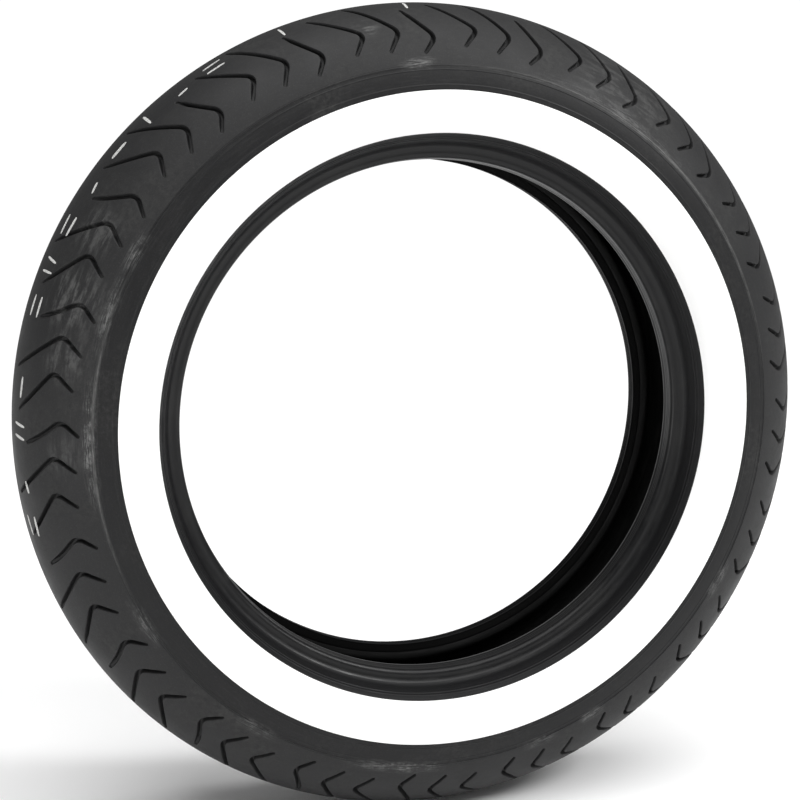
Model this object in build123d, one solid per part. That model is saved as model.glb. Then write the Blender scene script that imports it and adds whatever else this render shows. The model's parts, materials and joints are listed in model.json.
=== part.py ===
from build123d import *
from math import acos, asin, atan2, cos, degrees, hypot, radians, sin
import os

# A 150/80-16 motorcycle tyre as the separate plies, rings and rubber parts that it is laid up from.
#
# Frame: millimetres, +Y along the axle, +Z up, origin at the wheel's centre. "left" is the -Y side.
# A section point is (y, r): y across the tyre, r out from the axle. Angles in the section are in
# degrees from the outward radial direction, towards +Y. Angles round the tyre run from the top
# towards -X, which is anticlockwise as seen from the left.

# Driving dimensions of the size, in mm
TYRE_RADIUS = 323.0          # 406.4 mm rim code + two section heights of 120 mm, halved
HALF_WIDTH = 75.0            # half of the 150 mm section width
BEAD_SEAT_RADIUS = 202.8     # 405.6 mm bead seat of a 16 in rim
RIM_HALF_WIDTH = 44.5        # half of the 3.50 in rim, flange face to flange face

# Outer surface. From bead to bead over the crown it is one arc of the half width
FLANGE_ARC = 8.0             # hollow above the rim flange
FLANGE_TOP = 207.5           # radius at which the flat flange face ends
HEEL_ARC = 4.5
SEAT_INNER_Y = 32.5          # inner end of the cylindrical bead seat
TOE = (30.1, 202.1)
TOE_TIP = (29.6, 203.0)
WING_ANGLE = 70.0            # outer end of the tread rubber
WING_FOOT_ANGLE = 66.0       # its inner end, on the casing

# Layers, as thicknesses
CROWN_BUILD = 11.4           # tread, base and belts at the centreline
SIDE_RUBBER = 4.0            # black sidewall at the widest point
CASING_CROWN_ARC = 72.0
PLY = 1.0
LINER = 1.2
BELT = 0.9
TREAD_BASE = 1.2
BELT_INNER_END = 46.0
BELT_OUTER_END = 41.0
BASE_END = 50.0
TURN_UP_END = 140.0          # where the turned-up plies and the filler's tail end
CHAFER_TOP = 40.0            # how far the chafer climbs the flange hollow, in degrees

# White band
WHITE_OUTER_R = 254.0
WHITE_INNER_R = 222.5
WHITE_DEPTH = 1.0
WHITE_PROUD = 0.5

# Bead
WIRES_WIDE = 5
WIRES_HIGH = 4
WIRE_PITCH = 1.0
WIRE_RADIUS = 0.48
BEAD_WRAP = 0.4
WIRE_BOND = 0.2              # rubber that shows between two wires of the bundle
CORE_FLOOR = 206.0           # radius of the ply that passes under the bead
CORE_LEFT = 35.2             # the plies' vertical faces either side of the bead
INNER_BEND_R = 210.0         # radius at which the casing starts to bend outward
CHAFER_SIDE = 1.5            # chafer between the turned-up plies and the rim flange
CAVITY_SIDE = slice(0, 4)    # the pieces of a ply's path from the centreline to the bead
ROUND_THE_BEAD = slice(4, 9)  # those from the bead's inner face, under it and up its outer face

# Tread pattern: three hooks repeat round the tyre, each a long arm, a corner and a short arm
GROUPS = 21
GROOVE_WIDTH = 3.2
TAIL_WIDTH = 2.6
TOP_DEPTH = 1.2              # of the flat floor at the long arm's top, deepest near its middle
CORNER_DEPTH = 2.6
TAIL_DEPTH = 0.8             # where the groove fades out at the shoulder
CUTTER_HEIGHT = 14.0
SAME_POINT = 1e-6            # two points nearer than this are one
PITCH_DEG = 360.0 / GROUPS
LEFT_PHASE = 6.8
RIGHT_PHASE = LEFT_PHASE + 0.5 * PITCH_DEG / 3
# (angle of the corner in the group, then (angle from the corner, y) of top, corner and tail)
HOOKS = (
    (0.0, (5.4, 13.0), (0.0, 55.4), (2.0, 65.2)),
    (5.2, (5.8, 22.0), (0.0, 54.0), (2.0, 63.8)),
    (12.0, (3.3, 33.0), (0.0, 60.0), (1.8, 66.8)),
)

# Centres and radii of the section's other arcs, worked out from the sizes above
CROWN_C = (0.0, TYRE_RADIUS - HALF_WIDTH)
WIDE_R = CROWN_C[1]          # radius at the widest point
FLANGE_C = (RIM_HALF_WIDTH + FLANGE_ARC, FLANGE_TOP)
# the lower sidewall arc touches the widest point and the flange hollow
_across = HALF_WIDTH - RIM_HALF_WIDTH
_down = WIDE_R - FLANGE_TOP
LOWER_ARC = (_across ** 2 + _down ** 2) / (2 * _across) - FLANGE_ARC
LOWER_C = (HALF_WIDTH - LOWER_ARC, WIDE_R)
CASING_WIDE_Y = HALF_WIDTH - SIDE_RUBBER
CASING_CROWN_C = (0.0, TYRE_RADIUS - CROWN_BUILD - CASING_CROWN_ARC)
# the casing's shoulder arc joins its crown arc to its widest point
_rise = WIDE_R - CASING_CROWN_C[1]
_spare = CASING_CROWN_ARC - CASING_WIDE_Y
CASING_JOIN = 90.0 - 2 * degrees(atan2(_spare, _rise))
_shrink = _rise / cos(radians(CASING_JOIN))
CASING_SHOULDER_ARC = CASING_CROWN_ARC - _shrink
CASING_SHOULDER_C = (CASING_CROWN_C[0] + _shrink * sin(radians(CASING_JOIN)), WIDE_R)
CASING_LOWER_ARC = CASING_WIDE_Y - LOWER_C[0]
# the casing's bend above the bead touches the core's side and the lower arc
_inset = CORE_LEFT - LOWER_C[0]
_fall = WIDE_R - INNER_BEND_R
INNER_BEND = (_inset ** 2 + _fall ** 2 - CASING_LOWER_ARC ** 2) / (2 * (CASING_LOWER_ARC - _inset))
INNER_BEND_C = (CORE_LEFT + INNER_BEND, INNER_BEND_R)
# the wrapped wires fill the space between the casing and its turn-up
WRAP_WIDTH = WIRES_WIDE * WIRE_PITCH + 2 * BEAD_WRAP
WRAP_HEIGHT = WIRES_HIGH * WIRE_PITCH + 2 * BEAD_WRAP
CORE_RIGHT = CORE_LEFT + WRAP_WIDTH
CORE_CORNER = BEAD_WRAP + WIRE_PITCH / 2
CORNER_R = CORE_FLOOR + CORE_CORNER
CORE_TOP = CORE_FLOOR + WRAP_HEIGHT
CORE_MIDDLE = ((CORE_LEFT + CORE_RIGHT) / 2, (CORE_FLOOR + CORE_TOP) / 2)
OUTER_BEND = FLANGE_C[0] - CORE_RIGHT
SHOULDER_PLY_ARC = FLANGE_ARC + CHAFER_SIDE


def at(centre, radius, angle):
    """The section point on an arc."""
    a = radians(angle)
    return (centre[0] + radius * sin(a), centre[1] + radius * cos(a))


def towards(centre, other):
    """The angle at which one centre sees another."""
    return degrees(atan2(other[0] - centre[0], other[1] - centre[1])) % 360


def arc(centre, radius, start, end):
    """An arc of the section, as three points."""
    middle = (start + end) / 2
    return ("arc", at(centre, radius, start), at(centre, radius, middle), at(centre, radius, end))


def line(start, end):
    return ("line", start, end)


def backwards(path):
    return [(e[0],) + tuple(reversed(e[1:])) for e in reversed(path)]


def start_of(path):
    return path[0][1]


def end_of(path):
    return path[-1][-1]


def mirrored(path):
    """The same path on the -Y side, in the opposite order."""
    flipped = [(e[0],) + tuple((-y, r) for y, r in e[1:]) for e in path]
    return backwards(flipped)


def edge(piece):
    points = [Vector(0, y, r) for y, r in piece[1:]]
    if piece[0] == "arc":
        return Edge.make_three_point_arc(*points)
    return Edge.make_line(*points)


def apart(a, b):
    return hypot(a[0] - b[0], a[1] - b[1]) > SAME_POINT


def closed(path):
    """The path with a straight line wherever two of its pieces do not meet."""
    joined = []
    for piece, following in zip(path, path[1:] + path[:1]):
        joined.append(piece)
        if apart(piece[-1], following[1]):
            joined.append(line(piece[-1], following[1]))
    return joined


def ring(path):
    """A closed section path turned about the axle."""
    face = Face(Wire([edge(piece) for piece in closed(path)]))
    return revolve(face, axis=Axis.Y)


def casing_crown(offset):
    """The casing's outer surface from the centreline to the widest point."""
    return [
        arc(CASING_CROWN_C, CASING_CROWN_ARC + offset, 0, CASING_JOIN),
        arc(CASING_SHOULDER_C, CASING_SHOULDER_ARC + offset, CASING_JOIN, 90),
    ]


def ply_path(offset):
    """A ply from the centreline to the end of its turn-up. The offset is away from the bead core."""
    bend_seen = towards(LOWER_C, INNER_BEND_C)
    flange_seen = towards(LOWER_C, FLANGE_C)
    corner = CORE_CORNER + offset
    left_y = CORE_LEFT - offset
    right_y = CORE_RIGHT + offset
    left_c = (CORE_LEFT + CORE_CORNER, CORNER_R)
    right_c = (CORE_RIGHT - CORE_CORNER, CORNER_R)
    floor = CORNER_R - corner
    turned_up = OUTER_BEND - offset
    upper = LOWER_ARC + FLANGE_ARC - turned_up
    return casing_crown(-offset) + [
        arc(LOWER_C, CASING_LOWER_ARC - offset, 90, bend_seen),
        arc(INNER_BEND_C, INNER_BEND + offset, bend_seen + 180, 270),
        line((left_y, INNER_BEND_R), (left_y, CORNER_R)),
        arc(left_c, corner, 270, 180),
        line((left_c[0], floor), (right_c[0], floor)),
        arc(right_c, corner, 180, 90),
        line((right_y, CORNER_R), (right_y, FLANGE_TOP)),
        arc(FLANGE_C, turned_up, 270, flange_seen + 180),
        arc(LOWER_C, upper, flange_seen, TURN_UP_END),
    ]


def both_sides(half):
    """A path from the -Y end over the crown to the +Y end."""
    return mirrored(half) + half


def ply(offset):
    """A cord ply that goes over the crown and round both bead cores."""
    core_side = both_sides(ply_path(offset))
    cavity_side = both_sides(ply_path(offset + PLY))
    return ring(core_side + backwards(cavity_side))


def liner():
    """The airtight skin inside the plies, from bead to bead."""
    ply_side = both_sides(ply_path(2 * PLY)[CAVITY_SIDE])
    air_side = both_sides(ply_path(2 * PLY + LINER)[CAVITY_SIDE])
    return ring(ply_side + backwards(air_side))


def crown_band(low, high, end):
    """A layer that follows the casing's crown to an angle each side."""
    outer = [arc(CASING_CROWN_C, CASING_CROWN_ARC + high, -end, end)]
    inner = [arc(CASING_CROWN_C, CASING_CROWN_ARC + low, end, -end)]
    return ring(outer + inner)


def on_casing(offset, angle):
    """The point at an angle on the casing's crown, or on a layer that lies on it."""
    return at(CASING_CROWN_C, CASING_CROWN_ARC + offset, angle)


def belt_edge_strip():
    """The gum wedge that fills the step at the belts' edges."""
    top = 2 * BELT
    return [
        arc(CASING_CROWN_C, CASING_CROWN_ARC + top, BELT_OUTER_END, BASE_END),
        arc(CASING_CROWN_C, CASING_CROWN_ARC, BASE_END, BELT_INNER_END),
        line(on_casing(0, BELT_INNER_END), on_casing(BELT, BELT_INNER_END)),
        arc(CASING_CROWN_C, CASING_CROWN_ARC + BELT, BELT_INNER_END, BELT_OUTER_END),
    ]


def tread_outline():
    """The tread's section before its grooves are cut, from wing to wing."""
    base_top = 2 * BELT + TREAD_BASE
    half_outer = [arc(CROWN_C, HALF_WIDTH, 0, WING_ANGLE)]
    half_inner = [
        arc(CASING_CROWN_C, CASING_CROWN_ARC + base_top, 0, BASE_END),
        line(on_casing(base_top, BASE_END), on_casing(0, BASE_END)),
        arc(CASING_CROWN_C, CASING_CROWN_ARC, BASE_END, WING_FOOT_ANGLE),
    ]
    return both_sides(half_outer) + backwards(both_sides(half_inner))


def under_surface(turn, y, depth):
    """The point a depth under the crown, and the crown's outward normal there."""
    tilt = asin(y / HALF_WIDTH)
    a = radians(turn)
    normal = Vector(-sin(a) * cos(tilt), sin(tilt), cos(a) * cos(tilt))
    r = CROWN_C[1] + (HALF_WIDTH - depth) * cos(tilt)
    across = (HALF_WIDTH - depth) * sin(tilt)
    return Vector(-r * sin(a), across, r * cos(a)), normal


def groove_arm(start, end, depths, width):
    """A straight slot between two (angle, y) points, with a flat floor between the two depths."""
    first, first_normal = under_surface(*start, depths[0])
    last, last_normal = under_surface(*end, depths[1])
    along = last - first
    up = along.cross(first_normal + last_normal).cross(along)
    floor = Plane(origin=(first + last) * 0.5, x_dir=along, z_dir=up)
    lifted = (Align.CENTER, Align.CENTER, Align.MIN)
    return floor * Box(along.length + width, width, CUTTER_HEIGHT, align=lifted)


def hook_cutters(hook):
    """The two arms of one groove, with its corner at the top of the tyre."""
    _, top, corner, tail = hook
    long_arm = groove_arm(top, corner, (TOP_DEPTH, CORNER_DEPTH), GROOVE_WIDTH)
    short_arm = groove_arm(corner, tail, (CORNER_DEPTH, TAIL_DEPTH), TAIL_WIDTH)
    return [long_arm, short_arm]


def groove_cutters():
    """Every groove: three hooks in each group, and the other side the same, shifted round a little."""
    cutters = []
    for hook in HOOKS:
        for right in hook_cutters(hook):
            left = right.mirror(Plane.XZ)
            for group in range(GROUPS):
                turn = group * PITCH_DEG + hook[0]
                cutters.append(Rot(0, -turn - LEFT_PHASE, 0) * left)
                cutters.append(Rot(0, -turn - RIGHT_PHASE, 0) * right)
    return cutters


def tread_cap():
    return ring(tread_outline()) - groove_cutters()


def white_face(offset):
    """The white band's surface at an offset from the tyre's own, from its outer to its inner edge."""
    outer_edge = degrees(acos((WHITE_OUTER_R - WIDE_R) / HALF_WIDTH))
    inner_edge = degrees(acos((WHITE_INNER_R - WIDE_R) / LOWER_ARC))
    return [
        arc(CROWN_C, HALF_WIDTH + offset, outer_edge, 90),
        arc(LOWER_C, LOWER_ARC + offset, 90, inner_edge),
    ]


def whitewall():
    """The white band, let into the sidewall and standing a little proud of it."""
    return white_face(WHITE_PROUD) + backwards(white_face(-WHITE_DEPTH))


def sidewall():
    """The black rubber from the tread's wing to the chafer, with a shallow seat for the white band."""
    flange_seen = towards(LOWER_C, FLANGE_C)
    turned_up = LOWER_ARC - CHAFER_SIDE
    band = white_face(0)
    seat = white_face(-WHITE_DEPTH)
    wing_foot = on_casing(0, WING_FOOT_ANGLE)
    outside = [line(wing_foot, at(CROWN_C, HALF_WIDTH, WING_ANGLE))]
    outside += [outer_arc(WING_ANGLE, start_of(band))]
    outside += seat
    outside += [
        lower_arc(end_of(band), flange_seen),
        arc(FLANGE_C, FLANGE_ARC, flange_seen + 180, 270 + CHAFER_TOP),
    ]
    inside = [
        arc(FLANGE_C, SHOULDER_PLY_ARC, 270 + CHAFER_TOP, flange_seen + 180),
        arc(LOWER_C, turned_up, flange_seen, TURN_UP_END),
        line(at(LOWER_C, turned_up, TURN_UP_END), at(LOWER_C, CASING_LOWER_ARC, TURN_UP_END)),
        arc(LOWER_C, CASING_LOWER_ARC, TURN_UP_END, 90),
        arc(CASING_SHOULDER_C, CASING_SHOULDER_ARC, 90, CASING_JOIN),
        arc(CASING_CROWN_C, CASING_CROWN_ARC, CASING_JOIN, WING_FOOT_ANGLE),
    ]
    return outside + inside


def outer_arc(start_angle, end_point):
    """The crown's surface from an angle to a point on it."""
    return arc(CROWN_C, HALF_WIDTH, start_angle, towards(CROWN_C, end_point))


def lower_arc(start_point, end_angle):
    """The lower sidewall's surface from a point on it to an angle."""
    return arc(LOWER_C, LOWER_ARC, towards(LOWER_C, start_point), end_angle)


def chafer():
    """The hard strip that meets the rim, from the flange hollow round heel, seat and toe."""
    heel_c = (RIM_HALF_WIDTH - HEEL_ARC, BEAD_SEAT_RADIUS + HEEL_ARC)
    inner_y = CORE_LEFT - 2 * PLY - LINER
    outside = [
        arc(FLANGE_C, FLANGE_ARC, 270 + CHAFER_TOP, 270),
        line((RIM_HALF_WIDTH, FLANGE_TOP), (RIM_HALF_WIDTH, heel_c[1])),
        arc(heel_c, HEEL_ARC, 90, 180),
        line((heel_c[0], BEAD_SEAT_RADIUS), (SEAT_INNER_Y, BEAD_SEAT_RADIUS)),
        line((SEAT_INNER_Y, BEAD_SEAT_RADIUS), TOE),
        line(TOE, TOE_TIP),
        line(TOE_TIP, (inner_y, INNER_BEND_R)),
    ]
    up_the_flange = [arc(FLANGE_C, SHOULDER_PLY_ARC, 270, 270 + CHAFER_TOP)]
    return outside + ply_path(2 * PLY)[ROUND_THE_BEAD] + up_the_flange


def bead_filler():
    """The hard wedge between the casing and its turn-up, from the wrapped wires to a thin tail."""
    bend = OUTER_BEND
    turned_start = 270 + degrees(asin((CORE_TOP - FLANGE_TOP) / bend))
    casing_end = 270 + degrees(asin((CORE_TOP - INNER_BEND_R) / INNER_BEND))
    flange_seen = towards(LOWER_C, FLANGE_C)
    bend_seen = towards(LOWER_C, INNER_BEND_C)
    return [
        arc(FLANGE_C, bend, turned_start, flange_seen + 180),
        arc(LOWER_C, LOWER_ARC + FLANGE_ARC - bend, flange_seen, TURN_UP_END),
        arc(LOWER_C, CASING_LOWER_ARC, TURN_UP_END, bend_seen),
        arc(INNER_BEND_C, INNER_BEND, bend_seen + 180, casing_end),
    ]


def bead_wrap():
    """The fabric strip wound round the wires."""
    at_core = Pos(0, *CORE_MIDDLE)
    outer = RectangleRounded(WRAP_WIDTH, WRAP_HEIGHT, CORE_CORNER)
    bore = RectangleRounded(WRAP_WIDTH - 2 * BEAD_WRAP, WRAP_HEIGHT - 2 * BEAD_WRAP, WIRE_PITCH / 2)
    return revolve(at_core * (Plane.YZ * (outer - bore)), axis=Axis.Y)


def bead_core():
    """The hoop: rows of wires bonded together with rubber."""
    columns = (WIRES_WIDE - 1) * WIRE_PITCH
    rows = (WIRES_HIGH - 1) * WIRE_PITCH
    bond = Rectangle(columns + 2 * WIRE_BOND, rows + 2 * WIRE_BOND)
    wires = GridLocations(WIRE_PITCH, WIRE_PITCH, WIRES_WIDE, WIRES_HIGH) * Circle(WIRE_RADIUS)
    bundle = Plane.YZ * (bond + wires)
    return revolve(Pos(0, *CORE_MIDDLE) * bundle, axis=Axis.Y)


def write(name, shape):
    export_step(shape, f"parts/{name}.step")


def main():
    os.makedirs("parts", exist_ok=True)
    write("tread_cap", tread_cap())
    write("tread_base", crown_band(2 * BELT, 2 * BELT + TREAD_BASE, BASE_END))
    write("belt_outer", crown_band(BELT, 2 * BELT, BELT_OUTER_END))
    write("belt_inner", crown_band(0, BELT, BELT_INNER_END))
    write("carcass_ply_outer", ply(0))
    write("carcass_ply_inner", ply(PLY))
    write("inner_liner", liner())
    sided = {
        "sidewall": ring(sidewall()),
        "whitewall": ring(whitewall()),
        "chafer": ring(chafer()),
        "bead_filler": ring(bead_filler()),
        "belt_edge_strip": ring(belt_edge_strip()),
        "bead_wrap": bead_wrap(),
        "bead_core": bead_core(),
    }
    for name, shape in sided.items():
        write(f"{name}_right", shape)
        write(f"{name}_left", shape.mirror(Plane.XZ))


main()
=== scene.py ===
import bmesh
import bpy
import json
import random
from collections import namedtuple
from math import acos, asin, atan2, cos, degrees, pi, radians, sin
from mathutils import Matrix, Vector, geometry


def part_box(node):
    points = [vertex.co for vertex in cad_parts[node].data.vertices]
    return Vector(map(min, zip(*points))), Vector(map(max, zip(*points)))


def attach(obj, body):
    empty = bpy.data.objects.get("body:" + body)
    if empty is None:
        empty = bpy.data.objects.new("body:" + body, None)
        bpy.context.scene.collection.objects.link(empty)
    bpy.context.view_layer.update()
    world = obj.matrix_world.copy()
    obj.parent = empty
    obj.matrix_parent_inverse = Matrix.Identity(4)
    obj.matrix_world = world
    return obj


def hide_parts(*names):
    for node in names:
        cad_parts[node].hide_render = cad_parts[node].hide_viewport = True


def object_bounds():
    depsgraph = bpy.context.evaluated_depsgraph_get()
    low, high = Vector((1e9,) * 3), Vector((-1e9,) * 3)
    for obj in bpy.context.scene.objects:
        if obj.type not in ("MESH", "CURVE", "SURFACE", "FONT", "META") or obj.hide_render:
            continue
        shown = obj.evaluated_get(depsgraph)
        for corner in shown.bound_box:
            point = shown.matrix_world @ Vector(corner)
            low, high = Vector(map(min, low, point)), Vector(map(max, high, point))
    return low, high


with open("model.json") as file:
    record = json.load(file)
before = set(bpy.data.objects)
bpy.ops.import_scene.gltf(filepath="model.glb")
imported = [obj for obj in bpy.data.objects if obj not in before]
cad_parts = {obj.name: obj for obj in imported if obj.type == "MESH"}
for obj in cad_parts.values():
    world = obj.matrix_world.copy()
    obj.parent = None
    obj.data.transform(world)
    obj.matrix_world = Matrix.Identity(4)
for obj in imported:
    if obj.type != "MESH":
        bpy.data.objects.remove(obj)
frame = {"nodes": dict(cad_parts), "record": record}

cad_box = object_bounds()
MM = 0.001


def in_mm(metres):
    """A length of the frame in mm, to a tenth."""
    return round(metres / MM, 1)


# ---------------------------------------------------------------- the tyre's section

# In mm, as in the CAD. A section point is (y, r): y along the axle, r out from it. An angle in the
# section is in degrees, from straight out towards +y.
TYRE_RADIUS = in_mm(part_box("tread_cap")[1][2])
WHITE_PROUD = 0.5                # the white band is the widest part
HALF_WIDTH = in_mm(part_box("whitewall_right")[1][1]) - WHITE_PROUD
WIDE_R = TYRE_RADIUS - HALF_WIDTH
WING_ANGLE = 70.0                # outer end of the tread rubber
WING_FOOT_ANGLE = 66.0           # its inner end, on the casing
EDGE_S = radians(WING_ANGLE) * HALF_WIDTH

# The bead: seat, heel and flange hollow, and the arc of the lower sidewall that meets them
SEAT_R = frame["record"]["mounts"][0]["dims"]["r_mm"]
SEAT_END_Y = 32.5
RIM_HALF_WIDTH = 44.5
HEEL_ARC = 4.5
FLANGE_ARC = 8.0                 # hollow above the rim flange
FLANGE_TOP = 207.5               # radius at which the flat flange face ends
FLANGE_C = (RIM_HALF_WIDTH + FLANGE_ARC, FLANGE_TOP)
BEAD_INSET = HALF_WIDTH - RIM_HALF_WIDTH
LOWER_ARC = (BEAD_INSET ** 2 + (WIDE_R - FLANGE_TOP) ** 2) / (2 * BEAD_INSET) - FLANGE_ARC
LOWER_C = (HALF_WIDTH - LOWER_ARC, WIDE_R)
# The toe's lip from the seat round into the cavity, then the slope up to the liner
TOE = ((31.2, 202.45), (30.3, 202.1), (29.9, 202.15), (29.62, 202.5), (29.6, 203.0), (29.75, 203.5))
TOE_BACK = ((30.4, 205.3), (31.2, 207.7))
CHAFER_SIDE = 1.5                # thickness of the rim strip beside the flange
CHAFER_TOP = 40 - 90             # where the rim strip ends on the flange hollow

# The white band
WHITE_OUTER_R = 254.0
WHITE_INNER_R = 222.5
WHITE_DEPTH = 1.0

# The casing's outer surface, which is the back of the tread and of the sidewalls
CROWN_BUILD = 11.4               # tread, base and belts at the centreline
SIDE_RUBBER = 4.0                # black sidewall at the widest point
TREAD_LIFT = 3.0                 # belts and base between the casing and the tread
BASE_END = 50.0                  # where the base layer ends
TURN_UP_END = 140.0              # where the turned-up plies end
PLIES = 2.0                      # both together
LINER = 1.2
CASING_CROWN_ARC = 72.0
CASING_CROWN_R = TYRE_RADIUS - CROWN_BUILD - CASING_CROWN_ARC
CASING_WIDE_Y = HALF_WIDTH - SIDE_RUBBER
CROWN_TO_WIDE = WIDE_R - CASING_CROWN_R
CASING_JOIN = 90 - 2 * degrees(atan2(CASING_CROWN_ARC - CASING_WIDE_Y, CROWN_TO_WIDE))
ARC_CHANGE = CROWN_TO_WIDE / cos(radians(CASING_JOIN))
CASING_SHOULDER_ARC = CASING_CROWN_ARC - ARC_CHANGE
CASING_SHOULDER_Y = ARC_CHANGE * sin(radians(CASING_JOIN))
CASING_LOWER_ARC = CASING_WIDE_Y - LOWER_C[0]

# The plies' way round the bead wires, and the bend that brings the casing down to them
CORE_LEFT = 35.2
CORE_RIGHT = 41.0
CORE_CORNER = 0.9                # rounding of the wires' bundle
CORNER_R = 206.9                 # and the radius at which its corners' centres are
BEND_R = 210.0                   # where the casing starts to bend outward
BEND_INSET = CORE_LEFT - LOWER_C[0]
BEND_DROP = WIDE_R - BEND_R
BEND_GAP = CASING_LOWER_ARC - BEND_INSET
BEND_ARC = (BEND_INSET ** 2 + BEND_DROP ** 2 - CASING_LOWER_ARC ** 2) / (2 * BEND_GAP)
BEND_C = (CORE_LEFT + BEND_ARC, BEND_R)

# Fine mould ribs, as (place along the section line, half width, height)
RIDGE_S = 93.2                   # the ridge between tread and sidewall, from the centreline
SHOULDER_RIBS = ((RIDGE_S, 0.9, 0.6), (96.4, 0.6, 0.25), (108.0, 0.8, 0.3))
RIM_RIBS = ((1.2, 0.6, 0.25), (6.0, 0.9, 0.45), (8.4, 0.7, 0.3))
SEAT_RIBS = ((37.6, 0.5, 0.2), (35.4, 0.5, 0.2))


def seen_from(centre, other):
    """The angle of one section point seen from another."""
    return degrees(atan2(other[0] - centre[0], other[1] - centre[1])) % 360


FLANGE_SEEN = seen_from(LOWER_C, FLANGE_C)
BEND_SEEN = seen_from(LOWER_C, BEND_C)
WHITE_START = degrees(acos((WHITE_OUTER_R - WIDE_R) / HALF_WIDTH))
WHITE_END = degrees(acos((WHITE_INNER_R - WIDE_R) / LOWER_ARC))


def at(centre, radius, angle):
    """The section point on a circle at an angle."""
    a = radians(angle)
    return (centre[0] + radius * sin(a), centre[1] + radius * cos(a))


def placed(y, r, turn):
    """A section point turned round the axle. The turn is from the top towards -X."""
    a = radians(turn)
    return Vector((-r * sin(a) * MM, y * MM, r * cos(a) * MM))


def arc_points(centre, radius, start, end, step=1.6):
    """Points along an arc, about a step apart in mm."""
    count = max(2, round(abs(radians(end - start)) * radius / step))
    return [at(centre, radius, start + (end - start) * i / count) for i in range(count + 1)]


def blend(a, b, t):
    """The section point a part of the way from one to another."""
    return (a[0] + (b[0] - a[0]) * t, a[1] + (b[1] - a[1]) * t)


def add_object(name, data):
    obj = bpy.data.objects.new(name, data)
    bpy.context.scene.collection.objects.link(obj)
    return obj


def finish_mesh(name, bm, sharp=40.0, weighted=True):
    """An object from a bmesh, smooth but for edges sharper than the given angle."""
    bmesh.ops.recalc_face_normals(bm, faces=bm.faces)
    mesh = bpy.data.meshes.new(name)
    bm.to_mesh(mesh)
    bm.free()
    mesh.shade_smooth()
    mesh.set_sharp_from_angle(angle=radians(sharp))
    obj = add_object(name, mesh)
    if weighted:
        modifier = obj.modifiers.new("shading", "WEIGHTED_NORMAL")
        modifier.keep_sharp = True
        modifier.weight = 60
    return obj


# ---------------------------------------------------------------- tread

# A point of the tread is (u, s, depth): u round it, s from the centreline, depth under its surface,
# all in mm.
GROUPS = 21                      # groups of three grooves on each side
PITCH = 360.0 / GROUPS
COLUMNS = 36                     # mesh columns in a group
ROWS = 34                        # and rows, from the centreline to the tread's edge
SEGMENTS = GROUPS * COLUMNS
STEP = PITCH / COLUMNS
SIDE_PHASE = {-1: 6.8, 1: 6.8 + 6 * STEP}    # turn of a first group, by side (-1 left, 1 right)
MM_PER_DEG = 5.3                 # round the tyre at the grooves' corners
PITCH_MM = PITCH * MM_PER_DEG
# (corner's angle in the group, then (angle from the corner, y) of the top, the corner and the tail)
HOOKS = (
    (0.0, (5.4, 13.0), (0.0, 55.4), (2.0, 65.2)),
    (5.2, (5.8, 22.0), (0.0, 54.0), (2.0, 63.8)),
    (12.0, (3.3, 33.0), (0.0, 60.0), (1.8, 66.8)),
)
GROOVE_HALF, GROOVE_DEPTH = 1.9, 4.8
TOP_HALF, TOP_DEPTH = 1.3, 1.4
TAIL_HALF, TAIL_DEPTH = 1.55, 2.2
TOP_RUN = 9                      # length in which the top reaches full width and depth
CORNER_ROUND = 6.0               # length of each arm that the rounded corner takes
CORNER_OUT = 1.0                 # how far the corner moves out to make up for its rounding
ARM_BOW = 1.5                    # of the long arm, from top to corner
ARM_STEPS, ROUND_STEPS, TAIL_STEPS = 13, 6, 5
# (fraction of the half width, fraction of the depth) from the rounded lip to the floor
GROOVE_LEVELS = ((1.38, 0.0), (1.12, 0.025), (0.96, 0.1), (0.84, 0.3), (0.7, 0.9), (0.45, 1.0))
RIM_CLEARANCE = 1.5              # between a groove's rim and the surface's own points
# (s, u) of the line between two groups of grooves, which runs clear of both
CELL_EDGE = (
    (0, 9 * STEP * MM_PER_DEG), (14, 18), (30, 8), (62, -11), (68, -12), (80, -6), (EDGE_S, -5),
)
WELD = 2e-5                      # in metres, for points that are the same


def on_tread(u, s, depth, side, phase):
    """Where a point of the tread is in the frame."""
    tilt = s / HALF_WIDTH
    y = (HALF_WIDTH - depth) * sin(tilt)
    r = WIDE_R + (HALF_WIDTH - depth) * cos(tilt)
    return placed(side * y, r, u / MM_PER_DEG + phase)


def hook_path(hook):
    """The centreline of one groove: (point, half width, depth) from its top to its tail."""
    angle, *corners = hook
    top, corner, tail = [
        Vector(((angle + turn) * MM_PER_DEG, HALF_WIDTH * asin(y / HALF_WIDTH))) for turn, y in corners
    ]
    corner -= ((top - corner).normalized() + (tail - corner).normalized()).normalized() * CORNER_OUT
    arm_end = corner + (top - corner).normalized() * CORNER_ROUND
    tail_start = corner + (tail - corner).normalized() * CORNER_ROUND
    run = arm_end - top
    bow = Vector((-run.y, run.x)).normalized() * ARM_BOW
    bow *= -1 if bow.x < 0 else 1
    path = []
    for i in range(ARM_STEPS):
        t = i / ARM_STEPS
        full = min(1.0, t * run.length / TOP_RUN)
        half = TOP_HALF + (GROOVE_HALF - TOP_HALF) * full
        path.append((top + run * t + bow * sin(pi * t), half, TOP_DEPTH + (GROOVE_DEPTH - TOP_DEPTH) * full))
    for i in range(ROUND_STEPS):
        t = i / ROUND_STEPS
        p = arm_end.lerp(corner, t).lerp(corner.lerp(tail_start, t), t)
        path.append((p, GROOVE_HALF, GROOVE_DEPTH))
    for i in range(TAIL_STEPS + 1):
        t = i / TAIL_STEPS
        half = GROOVE_HALF + (TAIL_HALF - GROOVE_HALF) * t
        path.append((tail_start.lerp(tail, t), half, GROOVE_DEPTH + (TAIL_DEPTH - GROOVE_DEPTH) * t * t))
    return path


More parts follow.
